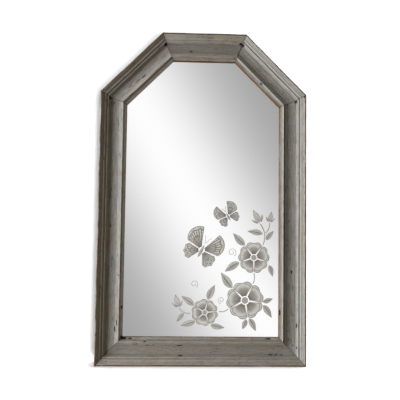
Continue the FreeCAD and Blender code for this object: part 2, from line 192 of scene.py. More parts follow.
# Leaves: x, z, heading, length, width and bend
leaves = (
    (0.461, 0.321, 134, 0.150, 0.062, -0.12), (0.593, 0.087, -56, 0.112, 0.046, -0.10),
    (0.570, 0.079, -104, 0.082, 0.040, -0.10), (0.700, 0.214, 12, 0.084, 0.038, 0.12),
    (0.703, 0.189, -48, 0.118, 0.048, -0.12), (0.515, 0.523, 206, 0.138, 0.056, 0.12),
    (0.558, 0.656, 142, 0.134, 0.054, -0.12), (0.748, 0.502, -66, 0.094, 0.040, -0.10),
    (0.725, 0.698, 58, 0.094, 0.038, -0.10), (0.697, 0.748, 164, 0.122, 0.046, 0.12),
    (0.268, 0.227, 72, 0.128, 0.052, -0.12), (0.160, 0.182, 136, 0.122, 0.048, 0.12),
    (0.171, 0.064, 204, 0.118, 0.046, -0.12), (0.291, 0.033, -17, 0.112, 0.044, 0.12),
    (0.082, 0.122, -137, 0.084, 0.034, 0.12),
)

# Stems: the points that each passes through
stems = (
    ((0.046, 0.164), (0.084, 0.129), (0.134, 0.124)),
    ((0.356, 0.140), (0.392, 0.138), (0.428, 0.158)),
    ((0.622, 0.356), (0.634, 0.398), (0.629, 0.440)),
    ((0.700, 0.662), (0.713, 0.744), (0.677, 0.828)),
    ((0.7205, 0.7520), (0.744, 0.786), (0.751, 0.834)),
)

# Tendrils: x, z, radius, first angle and turns
tendrils = (
    (0.455, 0.600, 0.034, -60, 1.35), (0.160, 0.350, 0.030, 300, 1.30), (0.374, 0.226, 0.027, -90, -1.30),
)

# Buds: x, z, heading and length
buds = ((0.673, 0.836, 118, 0.115), (0.041, 0.171, 106, 0.098), (0.752, 0.842, 80, 0.084))

# Butterflies: x, z, wing length and heading
butterflies = ((0.215, 0.615, 0.190, 62), (0.420, 0.885, 0.120, 118))

# Wings: middle and half spread in quarter turns, then reach, apex, drop and ripple as shares
wings = ((0.58, 0.335, 1.00, -0.50, 0.125, 0.00), (1.32, 0.340, 0.74, 0.10, 0.140, 0.028))
feeler_shares = ((0.30, 0.03), (0.46, 0.06), (0.62, 0.15))

# Sizes of the motifs, as in the solids
petal_count = 5
petal_gap = 1.4 * mm
petal_foot_share = 0.23
petal_notch_share = 0.09
petal_notch_spread_share = 0.30
petal_shoulder_share = 0.13
petal_waist_share = 0.74
blossom_eye_share = 0.17
leaf_swell_share = 0.80
stem_width = 2.8 * mm
tendril_width = 1.2 * mm
tendril_end_share = 0.30
tendril_points = 9
bud_width_share = 0.42
sepal_side_share = 0.10
sepal_length_share = 0.55
sepal_width_share = 0.13
sepal_spread_share = 0.47
sepal_bend_share = 0.10
wing_foot_share = 0.135
wing_waist_share = 0.86
wing_ripples = 3
body_length_share = 0.58
body_width_share = 0.12
body_tail_share = 0.33

# Carving in the pockets: its clearances, its relief and its outlines
seat_gap = 0.02 * mm
face_gap = 0.04 * mm
pocket_clearance = 0.2 * mm
merge_distance = 0.004 * mm
carved_sharp_angle = math.radians(55)
bevel_width = 1.6 * mm
rim_height_share = 0.16
bevel_height_share = 0.72
line_cut_share = 0.55
least_height_share = 0.06
fan_foot_share = 0.35
petal_outline = 1.9 * mm
leaf_outline = 1.1 * mm
stem_outline = 0.35 * mm

# Rows and columns of each carved patch, and the lines in it
petal_cells = (34, 32)
leaf_cells = (40, 16)
bud_cells = (30, 14)
sepal_cells = (20, 8)
body_cells = (44, 10)
wing_cells = (44, 40)
stem_cells = (20, 6)
tendril_cells = (64, 6)
petal_vein_shares = (-0.72, -0.48, -0.24, 0.0, 0.24, 0.48, 0.72)
wing_vein_shares = (-0.78, -0.52, -0.26, 0.0, 0.26, 0.52, 0.78)
bud_vein_shares = (-0.45, 0.0, 0.45)
leaf_vein_count = 8
body_ring_count = 11

# Stamens: rings as shares of the eye's radius and of the count, and each stamen's size
stamen_rings = ((0.74, 1.0), (0.40, 0.5))
stamen_count = 8
stamen_share = 0.19
stamen_dome = (1.0, 0.25, 1.0)
stamen_lift = 0.15 * mm

# Camera: where the photograph was taken from
camera_place = Vector((-39.5, -1193.8, -223.8)) * mm
camera_turns = (math.radians(-2.60), math.radians(1.564), math.radians(-0.813))
camera_lens = 35.2
camera_sensor = 36

# Window at the left of the part
window_place = Vector((-2.30, -1.25, -0.16))
window_target = Vector((0.0, -0.03, -0.16))
window_width, window_height = 1.69, 2.6
window_power = 129
window_tint = (0.94, 0.965, 1.0)

# Room in front of the part, at its right and behind it
white = (1.0, 1.0, 1.0, 1.0)
room_front = (0.175, 0.147, 0.108, 1.0)
room_right = (0.50, 0.47, 0.42, 1.0)
room_behind = (0.75, 0.75, 0.75, 1.0)

# Pale sweep that the mirror shows: its lean, the place of its middle, its steepness and its grey ends
sweep_lean = math.radians(30)
sweep_shift = 0.0185
sweep_steepness = 5.42
sweep_end_places = (0.40, 1.20)
sweep_end_levels = (0.345, 0.86)
least_depth = 0.05

# Stage: its size, its distance from the part and its glow to the camera
stage_reach = 4.0
stage_cuts = 7
floor_drop = 0.2 * mm
wall_distance = 0.5 * mm
stage_glow = 0.30
wall_tint = (0.93, 1.0, 1.11, 1.0)

# Suns that light only the wall or only the floor: direction, width in degrees and strength
wall_suns = (
    ("low_wall_wash", (-0.47, 1.0, 0.0), 19.0, 1.4),
    ("high_wall_wash", (-0.47, 1.0, 0.50), 19.0, 2.5),
)
floor_suns = (("floor_wash", (-0.03, -0.012, -1.0), 3.0, 3.4),)


class Wiring:
    """Places nodes in one tree and joins their sockets."""

    def __init__(self, tree):
        self.tree = tree

    def join(self, value, socket):
        if isinstance(value, bpy.types.NodeSocket):
            self.tree.links.new(value, socket)
        else:
            socket.default_value = value

    def feed(self, node, inputs):
        for key, value in inputs.items():
            self.join(value, node.inputs[key])

    def node(self, kind, inputs=None, **settings):
        made = self.tree.nodes.new(kind)
        for name, value in settings.items():
            setattr(made, name, value)
        self.feed(made, inputs or {})
        return made

    def first(self, kind, inputs=None, **settings):
        """The first output of a new node."""
        return self.node(kind, inputs, **settings).outputs[0]

    def math(self, operation, *values, clamp=False):
        return self.first("ShaderNodeMath", dict(enumerate(values)), operation=operation, use_clamp=clamp)

    def plus(self, one, other, clamp=False):
        return self.math("ADD", one, other, clamp=clamp)

    def minus(self, one, other):
        return self.math("SUBTRACT", one, other)

    def times(self, one, other, clamp=False):
        return self.math("MULTIPLY", one, other, clamp=clamp)

    def vector(self, operation, *values):
        made = self.node("ShaderNodeVectorMath", dict(enumerate(values)), operation=operation)
        scalar = operation in ("DOT_PRODUCT", "LENGTH", "DISTANCE")
        return made.outputs["Value" if scalar else "Vector"]

    def scaled(self, vector, share):
        return self.first("ShaderNodeVectorMath", {0: vector, "Scale": share}, operation="SCALE")

    def squeezed(self, vector, share):
        """A place drawn together along its first axis."""
        return self.vector("MULTIPLY", vector, (share, 1.0, 1.0))

    def combined(self, x, y, z):
        return self.first("ShaderNodeCombineXYZ", {0: x, 1: y, 2: z})

    def parts(self, vector):
        return self.node("ShaderNodeSeparateXYZ", {0: vector}).outputs

    def smooth(self, value, start, end, low=0.0, high=1.0):
        """From low to high while a value goes from start to end."""
        return self.first("ShaderNodeMapRange", {0: value, 1: start, 2: end, 3: low, 4: high},
                          interpolation_type="SMOOTHSTEP")

    def blend(self, share, low, high):
        return self.first("ShaderNodeMix", {0: share, 2: low, 3: high}, data_type="FLOAT")

    def tint(self, share, base, over):
        """One colour over another."""
        return self.node("ShaderNodeMix", {0: share, 6: base, 7: over}, data_type="RGBA").outputs[2]

    def layered(self, base, *layers):
        """Colours laid over a base one after another, each with its share."""
        for share, over in layers:
            base = self.tint(share, base, over)
        return base

    def noise(self, place, per_metre, detail=3.0, roughness=0.55):
        return self.first("ShaderNodeTexNoise", {
            "Vector": place, "Scale": per_metre, "Detail": detail, "Roughness": roughness})

    def bump(self, height, strength, depth):
        return self.first("ShaderNodeBump", {"Strength": strength, "Distance": depth, "Height": height})

    def attribute(self, name, output="Fac"):
        return self.node("ShaderNodeAttribute", attribute_name=name).outputs[output]

    def object_place(self):
        return self.node("ShaderNodeTexCoord").outputs["Object"]

    def group(self, tree, inputs):
        return self.node("ShaderNodeGroup", inputs, node_tree=tree).outputs


class RailWiring(Wiring):
    """Wiring of the rails' tree, with facts stored on points and masks across the moulding."""

    def named(self, name):
        return self.first("GeometryNodeInputNamedAttribute", {0: name}, data_type="FLOAT")

    def stored(self, geometry, name, value, kind="FLOAT"):
        return self.first("GeometryNodeStoreNamedAttribute",
                          {"Geometry": geometry, "Name": name, "Value": value}, data_type=kind)

    def past(self, start_share, end_share):
        """1 past two shares of the moulding's width, and 0 before them."""
        return self.smooth(self.named("across"), start_share * rail_width, end_share * rail_width)

    def before(self, start_share, end_share):
        """1 before two shares of the moulding's width, and 0 past them."""
        return self.smooth(self.named("across"), start_share * rail_width, end_share * rail_width, 1.0, 0.0)

    def band(self, rise_shares, fall_shares):
        """1 between where a band rises and where it falls."""
        return self.times(self.past(*rise_shares), self.before(*fall_shares))


def colour(red, green, blue):
    """A colour written as the 0 to 255 values of a screen."""
    def linear(value):
        share = value / 255
        return share / 12.92 if share <= 0.04045 else ((share + 0.055) / 1.055) ** 2.4
    return (linear(red), linear(green), linear(blue), 1.0)


def new_tree(name, kind, inputs, outputs, wiring=Wiring):
    """A node tree with named sockets, given as name and kind, and the wiring to fill it."""
    tree = bpy.data.node_groups.new(name, kind)
    for in_out, sockets in (("INPUT", inputs), ("OUTPUT", outputs)):
        for socket, socket_kind in sockets:
            tree.interface.new_socket(name=socket, in_out=in_out, socket_type="NodeSocket" + socket_kind)
    wires = wiring(tree)
    return wires, wires.node("NodeGroupInput").outputs, wires.node("NodeGroupOutput").inputs


def streaked_grain_group():
    """Long streaks, broad patches and short pores that follow a piece of wood."""
    wires, given, out = new_tree(
        "streaked_grain", "ShaderNodeTree",
        (("Place", "Vector"), ("Streaks per metre", "Float"), ("Stretch", "Float")),
        (("Streaks", "Float"), ("Patches", "Float"), ("Pores", "Float")))
    run, side, level = wires.parts(given["Place"])
    stretched = wires.combined(wires.math("DIVIDE", run, given["Stretch"]), side, level)
    pores = wires.noise(stretched, wires.times(given["Streaks per metre"], 2.6), 2.0)
    wires.join(wires.noise(stretched, given["Streaks per metre"], 5.0, 0.62), out["Streaks"])
    wires.join(wires.noise(wires.squeezed(given["Place"], 0.35), 34.0), out["Patches"])
    wires.join(wires.smooth(pores, 0.66, 0.78), out["Pores"])
    return wires.tree


def old_marks_group():
    """Scratches along the grain, in clusters, small specks, and a blotchy stain."""
    wires, given, out = new_tree(
        "old_marks", "ShaderNodeTree", (("Place", "Vector"),),
        (("Scratches", "Float"), ("Specks", "Float"), ("Blotches", "Float")))
    scratches = wires.smooth(wires.noise(wires.squeezed(given["Place"], 0.11), 430.0, 2.0), 0.58, 0.64)
    clusters = wires.smooth(wires.noise(given["Place"], 26.0, 2.0), 0.44, 0.58)
    short = wires.squeezed(given["Place"], 0.40)
    wires.join(wires.times(scratches, clusters), out["Scratches"])
    wires.join(wires.smooth(wires.noise(short, 420.0, 1.0), 0.69, 0.74), out["Specks"])
    wires.join(wires.smooth(wires.noise(short, 190.0, 4.0, 0.7), 0.40, 0.66), out["Blotches"])
    return wires.tree


def edge_wear_group():
    """Where the paint is rubbed through: a broken mask along worn edges."""
    wires, given, out = new_tree(
        "edge_wear", "ShaderNodeTree",
        (("Place", "Vector"), ("Wear", "Float"), ("Amount", "Float")), (("Bare", "Float"),))
    long_break = wires.noise(wires.squeezed(given["Place"], 0.22), 60.0)
    short_break = wires.noise(given["Place"], 260.0, 2.0)
    breaks = wires.plus(wires.times(long_break, 0.75), wires.times(short_break, 0.4))
    total = wires.plus(wires.times(given["Wear"], given["Amount"]), breaks)
    wires.join(wires.smooth(total, 0.98, 1.22), out["Bare"])
    return wires.tree


def tarnish_group():
    """Cloudy spangle and darker stains for zinc."""
    wires, given, out = new_tree(
        "tarnish", "ShaderNodeTree",
        (("Place", "Vector"), ("Size", "Float")), (("Spangle", "Float"), ("Stain", "Float")))
    cells = wires.node("ShaderNodeTexVoronoi", {"Vector": given["Place"], "Scale": given["Size"]})
    stain = wires.noise(given["Place"], wires.times(given["Size"], 0.6), 4.0)
    wires.join(wires.first("ShaderNodeSeparateColor", {0: cells.outputs["Color"]}), out["Spangle"])
    wires.join(wires.smooth(stain, 0.50, 0.72), out["Stain"])
    return wires.tree


streaked_grain = streaked_grain_group()
old_marks = old_marks_group()
edge_wear = edge_wear_group()
tarnish = tarnish_group()


def new_material(name):
    """An empty material with its Principled shader and the wiring of its tree."""
    material = bpy.data.materials.new(name)
    material.use_nodes = True
    return material, Wiring(material.node_tree), material.node_tree.nodes["Principled BSDF"]


def grey_wash_paint():
    """Distressed grey wash over pine: streaks, soil and painted shade in the quirks and the cove, painted
    shade on the bead's flank, painted highlights on step edges and lips, bare arrises, raw wood at the back.
    """
    material, wires, shader = new_material("grey_wash_paint")
    place = wires.attribute("grain", "Vector")
    streaks, patches, pores = wires.group(
        streaked_grain, {"Place": place, "Streaks per metre": 430.0, "Stretch": 18.0})
    scratches, specks, blotches = wires.group(old_marks, {"Place": place})
    bare = wires.group(edge_wear, {"Place": place, "Wear": wires.attribute("wear"), "Amount": 0.75})[0]
    tone = wires.smooth(streaks, 0.34, 0.66)
    warm = wires.times(wires.smooth(patches, 0.50, 0.70), 0.50)
    cool = wires.times(wires.smooth(patches, 0.30, 0.48, 1.0, 0.0), 0.50)
    # Soil and painted shade in the creases, and painted shade on the bead's flank, broken up by patches
    soil_and_shade_mask = wires.times(wires.attribute("dirt"), wires.smooth(patches, 0.25, 0.6, 0.75, 1.2), clamp=True)
    tan = wires.attribute("tan")
    dark_wood = wires.tint(tan, colour(73, 55, 42), colour(88, 58, 35))
    light_wood = wires.tint(tan, colour(110, 84, 62), colour(134, 95, 61))
    pine = wires.layered(wires.tint(tone, colour(134, 100, 62), colour(178, 142, 98)),
                         (wires.times(pores, 0.6), colour(88, 60, 36)))
    wash = wires.layered(
        wires.tint(tone, colour(134, 131, 125), colour(165, 163, 159)),
        (warm, colour(149, 136, 117)),
        (cool, colour(138, 140, 138)),
        (wires.attribute("warmth"), colour(150, 135, 112)),
        (wires.attribute("stain"), colour(120, 103, 76)),
        # Painted highlights on the step edges and lips
        (wires.attribute("polish"), colour(205, 203, 198)),
        # Soil with painted shade in the recessed cove
        (wires.attribute("dust"), colour(84, 78, 70)),
        (wires.times(pores, 0.45), colour(92, 84, 72)),
        (wires.times(blotches, 0.25), colour(112, 106, 97)),
        (wires.times(scratches, 0.6), colour(78, 71, 62)),
        # Colour of the soil and painted shade in the creases and on the bead's flank
        (soil_and_shade_mask, colour(58, 50, 40)),
        (bare, wires.tint(tone, dark_wood, light_wood)),
        (wires.times(specks, 0.85), colour(44, 38, 32)),
        (wires.attribute("raw"), pine),
        (wires.times(wires.attribute("joint"), 0.85), colour(46, 40, 34)),
        (wires.attribute("pit"), colour(22, 19, 17)))
    dull = wires.plus(0.52, wires.times(tone, 0.12))
    height = wires.minus(streaks, wires.times(pores, 0.6))
    wires.feed(shader, {
        "Base Color": wash, "Roughness": wires.plus(dull, wires.times(bare, 0.15)),
        "Specular IOR Level": 0.25, "Normal": wires.bump(height, strength=0.35, depth=0.35 * mm)})
    return material


def silvered_mirror():
    """Silvered glass, ground matt wherever it lies deeper than the pane's face."""
    material, wires, shader = new_material("silvered_mirror")
    place = wires.object_place()
    depth = wires.minus(wires.parts(place)[1], pane_front)
    cut = wires.math("GREATER_THAN", depth, level_margin)
    matt = wires.tint(wires.noise(place, 900.0), colour(150, 146, 137), colour(196, 193, 185))
    haze = wires.noise(place, 9.0, 4.0)
    silver = wires.tint(haze, (0.965, 0.97, 0.968, 1.0), (0.985, 0.985, 0.985, 1.0))
    wires.feed(shader, {
        "Base Color": wires.tint(cut, silver, matt), "Metallic": wires.minus(1.0, cut),
        "Roughness": wires.times(cut, 0.6)})
    return material


def frosted_engraving():
    """Matt ground glass with darker engraved lines."""
    material, wires, shader = new_material("frosted_engraving")
    place = wires.object_place()
    grit = wires.noise(place, 1500.0, 2.0)
    cloud = wires.times(wires.minus(wires.noise(place, 90.0, 4.0), 0.5), 0.7)
    light = wires.plus(wires.attribute("tone"), cloud, clamp=True)
    frost = wires.layered(
        wires.tint(light, colour(192, 189, 183), colour(236, 235, 230)),
        (wires.times(grit, 0.25), colour(174, 171, 165)),
        (wires.attribute("line"), colour(106, 101, 93)))
    wires.feed(shader, {
        "Base Color": frost, "Roughness": wires.plus(0.5, wires.times(grit, 0.25)),
        "Specular IOR Level": 0.3, "Normal": wires.bump(grit, strength=0.25, depth=0.08 * mm)})
    return material


def pressed_hardboard():
    """Brown pressed fibre with flecks and a faint screen pattern."""
    material, wires, shader = new_material("pressed_hardboard")
    place = wires.object_place()
    screen_pitch = 2.1 * mm
    fibre = wires.noise(place, 420.0, 5.0, 0.7)
    cloud = wires.smooth(wires.noise(place, 9.0, 4.0), 0.36, 0.64)
    chips = wires.smooth(wires.noise(place, 130.0), 0.42, 0.62)
    fleck = wires.smooth(wires.noise(place, 500.0, 2.0), 0.60, 0.72)
    x, y, z = wires.parts(place)
    waves = [wires.math("SINE", wires.times(axis, math.tau / screen_pitch)) for axis in (x, z)]
    board = wires.layered(
        wires.tint(fibre, colour(102, 70, 44), colour(152, 112, 76)),
        (wires.times(chips, 0.45), colour(92, 64, 42)),
        (wires.times(cloud, 0.45), colour(140, 110, 80)),
        (wires.times(fleck, 0.5), colour(64, 42, 28)))
    height = wires.plus(wires.times(wires.times(*waves), 0.3), fibre)
    wires.feed(shader, {
        "Base Color": board, "Roughness": wires.plus(0.66, wires.times(fibre, 0.2)),
        "Normal": wires.bump(height, strength=0.4, depth=0.3 * mm)})
    return material


def zinc_plate(name, bright, dark, spangles_per_metre):
    """Zinc-plated steel with spangle and stains."""
    material, wires, shader = new_material(name)
    place = wires.object_place()
    spangle, stain = wires.group(tarnish, {"Place": place, "Size": spangles_per_metre})
    metal = wires.layered(wires.tint(spangle, dark, bright), (wires.times(stain, 0.55), colour(104, 98, 86)))
    dull = wires.plus(0.3, wires.times(stain, 0.25))
    wires.feed(shader, {
        "Base Color": metal, "Metallic": 1.0, "Roughness": wires.plus(dull, wires.times(spangle, 0.1)),
        "Normal": wires.bump(wires.noise(place, 2600.0), strength=0.15, depth=0.05 * mm)})
    return material


def dark_rubber():
    """Dull black rubber with a bloom of dust."""
    material, wires, shader = new_material("dark_rubber")
    place = wires.object_place()
    bloom = wires.noise(place, 160.0, 5.0, 0.65)
    wires.feed(shader, {
        "Base Color": wires.tint(bloom, colour(26, 26, 27), colour(62, 60, 57)),
        "Roughness": wires.plus(0.6, wires.times(bloom, 0.3)),
        "Normal": wires.bump(wires.noise(place, 2400.0, 2.0), strength=0.3, depth=0.06 * mm)})
    return material


def new_object(name, data):
    obj = bpy.data.objects.new(name, data)
    bpy.context.scene.collection.objects.link(obj)
    return obj


def grown(name, mesh, tree, inputs):
    """A new piece that a geometry tree makes from a mesh, as a plain mesh with its faces outwards."""
    piece = new_object(name, mesh)
    modifier = piece.modifiers.new(tree.name, "NODES")
    modifier.node_group = tree
    sockets = {item.name: item.identifier for item in tree.interface.items_tree if item.in_out == "INPUT"}
    for socket, value in inputs.items():
        modifier[sockets[socket]] = value
    graph = bpy.context.evaluated_depsgraph_get()
    plain = bpy.data.meshes.new_from_object(piece.evaluated_get(graph), depsgraph=graph)
    piece.modifiers.remove(modifier)
    piece.data = plain
    made = bmesh.new()
    made.from_mesh(plain)
    if made.calc_volume(signed=True) < 0:
        bmesh.ops.reverse_faces(made, faces=made.faces[:])
    made.to_mesh(plain)
    made.free()
    plain.set_sharp_from_angle(angle=grown_sharp_angle)
    return piece


def ridge(value, width):
    """1 on a line, falling smoothly to 0 away from it."""
    return math.exp(-(value / width) ** 2)


def frame_corners(inset):
    """The frame's six corners moved in by inset, anticlockwise from the lower left, from the front."""
    half = frame_half_width - inset
    low = frame_foot + inset
    high = frame_top - inset
    slant = frame_half_width + frame_top - corner_cut - inset * math.sqrt(2)
    places = ((-half, low), (half, low), (half, slant - half), (slant - high, high),
              (high - slant, high), (-half, slant - half))
    return [Vector((x, 0, z)) for x, z in places]


def arc_points(first, middle, last, steps):
    """Points of the circle's arc through three points."""
    (ax, ay), (bx, by), (cx, cy) = first, middle, last
    scale = 2 * (ax * (by - cy) + bx * (cy - ay) + cx * (ay - by))
    squares = [x * x + y * y for x, y in (first, middle, last)]
    x = (squares[0] * (by - cy) + squares[1] * (cy - ay) + squares[2] * (ay - by)) / scale
    y = (squares[0] * (cx - bx) + squares[1] * (ax - cx) + squares[2] * (bx - ax)) / scale
    angles = [math.atan2(py - y, px - x) for px, py in (first, middle, last)]
    for place in (1, 2):
        turns = round((angles[place] - angles[place - 1]) / math.tau)
        angles[place] -= turns * math.tau
    radius = math.hypot(ax - x, ay - y)
    sweep = angles[2] - angles[0]
    return [(x + radius * math.cos(angles[0] + sweep * step / steps),
             y + radius * math.sin(angles[0] + sweep * step / steps)) for step in range(steps + 1)]


def moulding_outline():
    """Section of the moulding from the outer arris over the front to the sight edge, and along the back."""
    def at(table):
        return [(across * rail_width, sight_height + above * (frame_depth - sight_height))
                for across, above in table]

    flat_back = rail_width - rebate_width
    bulge = 1 - math.sqrt(0.5)
    arris = arc_points((0, frame_depth - arris_radius),
                       (arris_radius * bulge, frame_depth - arris_radius * bulge),
                       (arris_radius, frame_depth), arris_steps)
    sight = arc_points((rail_width - sight_radius, sight_height),
                       (rail_width - sight_radius * bulge, sight_height - sight_radius * bulge),
                       (rail_width, sight_height - sight_radius), sight_steps)
    hollow = arc_points(*at(cove_shares), cove_steps)[1:]
    bead = arc_points(*at(bead_shares), bead_steps)
    back = [(rail_width, rebate_depth), (flat_back, rebate_depth), (flat_back, 0), (0, 0)]
    return arris + at(land_and_step_shares) + hollow + bead + at(crest_and_lip_shares) + sight + back


def softened(points):
    """The same closed line with its sharp corners worn round."""
    soft = []
    for index, point in enumerate(points):
        here = Vector(point)
        into, out = here - Vector(points[index - 1]), Vector(points[(index + 1) % len(points)]) - here
        turn = abs(into.angle_signed(out))
        if turn < worn_turn:
            soft.append(here)
            continue
        shorter = min(into.length, out.length)
        reach = min(worn_radius * math.tan(turn / 2), shorter * worn_edge_share)
        start, end = here - into.normalized() * reach, here + out.normalized() * reach
        for share in worn_curve_shares:
            soft.append(start.lerp(here, share).lerp(here.lerp(end, share), share))
    return soft


def section_points():
    """The worn section's points, close together on its front and far apart on its flat sides and back."""
    corners = softened(moulding_outline())
    points = []
    for index, point in enumerate(corners):
        after = corners[(index + 1) % len(corners)]
        behind = max(point.y, after.y) < rebate_depth + level_margin
        outside = max(point.x, after.x) < level_margin
        spacing = back_spacing if behind or outside else front_spacing
        pieces = max(1, math.ceil((after - point).length / spacing))
        points += [point.lerp(after, piece / pieces) for piece in range(pieces)]
    return points


def step_at(steps, share):
    """How much and how far, from the first step that ends past a share of the width."""
    return next((amount, reach) for end, amount, reach in steps if share < end)


def moulding_section():
    """The section as a closed loop of edges, with the facts that the finish follows stored on its points."""
    points = section_points()
    count = len(points)
    girth, turns = [0.0], []
    for index, point in enumerate(points):
        out = points[(index + 1) % count] - point
        turns.append((point - points[index - 1]).angle_signed(out))
        girth.append(girth[-1] + out.length)
    facts = {"across": [], "up": [], "girth": girth[:count], "rub": [], "wear": [], "crease": [], "raw": []}

    def turned(point, reach, way):
        """How sharply the section turns outwards or inwards near a point, at most 1."""
        total = sum(max(0.0, way * turn) * ridge((other - point).length, reach)
                    for turn, other in zip(turns, points))
        return min(1.0, total)

    for point in points:
        bared, bare_reach = step_at(bare_steps, point.x / rail_width)
        # How much soil and painted shade gathers in the creases here, and how far it spreads
        crease_darkening, darkening_reach = step_at(quirk_steps, point.x / rail_width)
        unpainted = point.y < rebate_depth + paint_overlap and point.x > outer_paint_width
        facts["across"].append(point.x)
        facts["up"].append(point.y)
        facts["rub"].append(turned(point, rub_reach, 1))
        facts["wear"].append(bared * turned(point, bare_reach, 1))
        facts["crease"].append(crease_darkening * turned(point, darkening_reach, -1))
        facts["raw"].append(1.0 if unpainted else 0.0)
    mesh = bpy.data.meshes.new("moulding_section")
    mesh.from_pydata([(x, y, 0) for x, y in points], [(i, (i + 1) % count) for i in range(count)], [])
    for name, values in facts.items():
        mesh.attributes.new(name, "FLOAT", "POINT").data.foreach_set("value", values)
    return mesh


def swept_rail(wires, given):
    """The section swept from mitre to mitre, with its run, its distance to a mitre and its grain stored."""
    section = wires.first("GeometryNodeMeshToCurve", {0: given["Section"]})
    line = wires.first("GeometryNodeCurvePrimitiveLine", {"Start": (0, 0, 0), "End": (1, 0, 0)})
    line = wires.first("GeometryNodeResampleCurve", {"Curve": line, "Count": given["Steps"]})
    line = wires.stored(line, "along", wires.node("GeometryNodeSplineParameter").outputs["Factor"])
    swept = wires.first("GeometryNodeCurveToMesh",
                        {"Curve": line, "Profile Curve": section, "Fill Caps": True})
    swept = wires.first("GeometryNodeFlipFaces", {0: swept})
    along, across = wires.named("along"), wires.named("across")
    first = wires.vector("ADD", given["First corner"], wires.scaled(given["First mitre"], across))
    second = wires.vector("ADD", given["Second corner"], wires.scaled(given["Second mitre"], across))
    span = wires.vector("SUBTRACT", second, first)
    length = wires.vector("LENGTH", span)
    opening = wires.band(*joint_band)
    first_gap = wires.math("DIVIDE", wires.times(given["First gap"], opening), length)
    second_gap = wires.math("DIVIDE", wires.times(given["Second gap"], opening), length)
    share = wires.blend(along, first_gap, wires.minus(1.0, second_gap))
    level = wires.combined(0.0, wires.minus(given["Back level"], wires.named("up")), 0.0)
    place = wires.vector("ADD", wires.vector("ADD", first, wires.scaled(span, share)), level)
    rail = wires.first("GeometryNodeSetPosition", {"Geometry": swept, "Position": place})
    from_corner = wires.vector("SUBTRACT", wires.first("GeometryNodeInputPosition"), given["First corner"])
    run = wires.vector("DOT_PRODUCT", from_corner, wires.vector("NORMALIZE", span))
    rail = wires.stored(rail, "run", run)
    to_mitre = wires.times(wires.math("MINIMUM", along, wires.minus(1.0, along)), length)
    rail = wires.stored(rail, "to_mitre", to_mitre)
    grain = wires.combined(wires.named("run"), wires.named("girth"), given["Seed"])
    return wires.stored(rail, "grain", grain, "FLOAT_VECTOR"), grain


def knock_mask(wires, given, grain):
    """1 in the rail's knocks, with ragged rims."""
    marks = wires.node("GeometryNodeObjectInfo", {"Object": given["Knocks"]}).outputs["Geometry"]
    drawn = wires.math("DIVIDE", wires.named("run"), knock_stretch)
    flat = wires.combined(drawn, wires.named("across"), 0.0)
    nearest = wires.first("GeometryNodeSampleNearest", {"Geometry": marks, "Sample Position": flat})
    position = wires.first("GeometryNodeInputPosition")
    spot = wires.first("GeometryNodeSampleIndex", {"Geometry": marks, "Value": position, "Index": nearest},
                       data_type="FLOAT_VECTOR")
    radius = wires.first("GeometryNodeSampleIndex",
                         {"Geometry": marks, "Value": wires.named("radius"), "Index": nearest})
    ragged = wires.smooth(wires.noise(grain, 420.0, 2.0), 0.3, 0.7, 0.75, 1.45)
    off = wires.math("DIVIDE", wires.times(wires.vector("DISTANCE", flat, spot), ragged), radius)
    return wires.smooth(off, 0.85, 1.30, 1.0, 0.0)


def finish_facts(wires, given):
    """What the paint follows on the rail's points, painted shade and highlights among it: masks across the
    moulding times the rail's own shares.
    """
    lip = wires.past(*lip_rise_shares)
    edges = wires.blend(wires.before(*arris_fall_shares), 1.0, given["Arris wear"])
    edges = wires.blend(wires.band(*crest_band), edges, given["Crest wear"])
    edges = wires.blend(lip, edges, given["Sight wear"])
    # Soil and painted shade in the creases, with its own share near the lip
    quirks = wires.blend(wires.past(*lip_crease_rise_shares), given["Quirk soil and shade"], given["Lip soil and shade"])
    # Painted shade on the bead's outer flank
    bead_shade = wires.times(wires.band(*flank_band), given["Bead shade"])
    # Painted highlight on the convex edges of the steps
    step_highlight = wires.times(wires.named("rub"), given["Step highlight"])
    return {
        "joint": wires.smooth(wires.named("to_mitre"), *mitre_line, 1.0, 0.0),
        # Soil with painted shade in the recessed cove
        "dust": wires.times(wires.band(*cove_band), given["Cove soil and shade"]),
        "tan": wires.past(*tan_rise_shares),
        "stain": wires.times(wires.band(*step_band), given["Step stain"]),
        "warmth": given["Warmth"],
        "wear": wires.times(wires.named("wear"), edges),
        # Painted highlights on the step edges, and on the lip where its share is given
        "polish": wires.blend(lip, step_highlight, given["Lip highlight"]),
        # The darker of the creases' soil and painted shade and the bead flank's painted shade
        "dirt": wires.math("MAXIMUM", wires.times(wires.named("crease"), quirks), bead_shade),
    }


def worn_depth(wires, given, grain):
    """How deep the painted face is rubbed and streaked, except at its mitres, and knocked in."""
    rubbed = wires.smooth(wires.noise(wires.squeezed(grain, 0.3), 70.0), 0.38, 0.7)
    rubbed = wires.times(wires.times(rubbed, wires.named("rub")), given["Rub depth"])
    streaked = wires.times(wires.noise(wires.squeezed(grain, 0.06), 300.0), streak_depth)
    off_mitre = wires.smooth(wires.named("to_mitre"), 0.0, mitre_margin)
    worn = wires.times(wires.plus(rubbed, streaked), off_mitre)
    return wires.plus(worn, wires.times(wires.named("pit"), given["Knock depth"]))


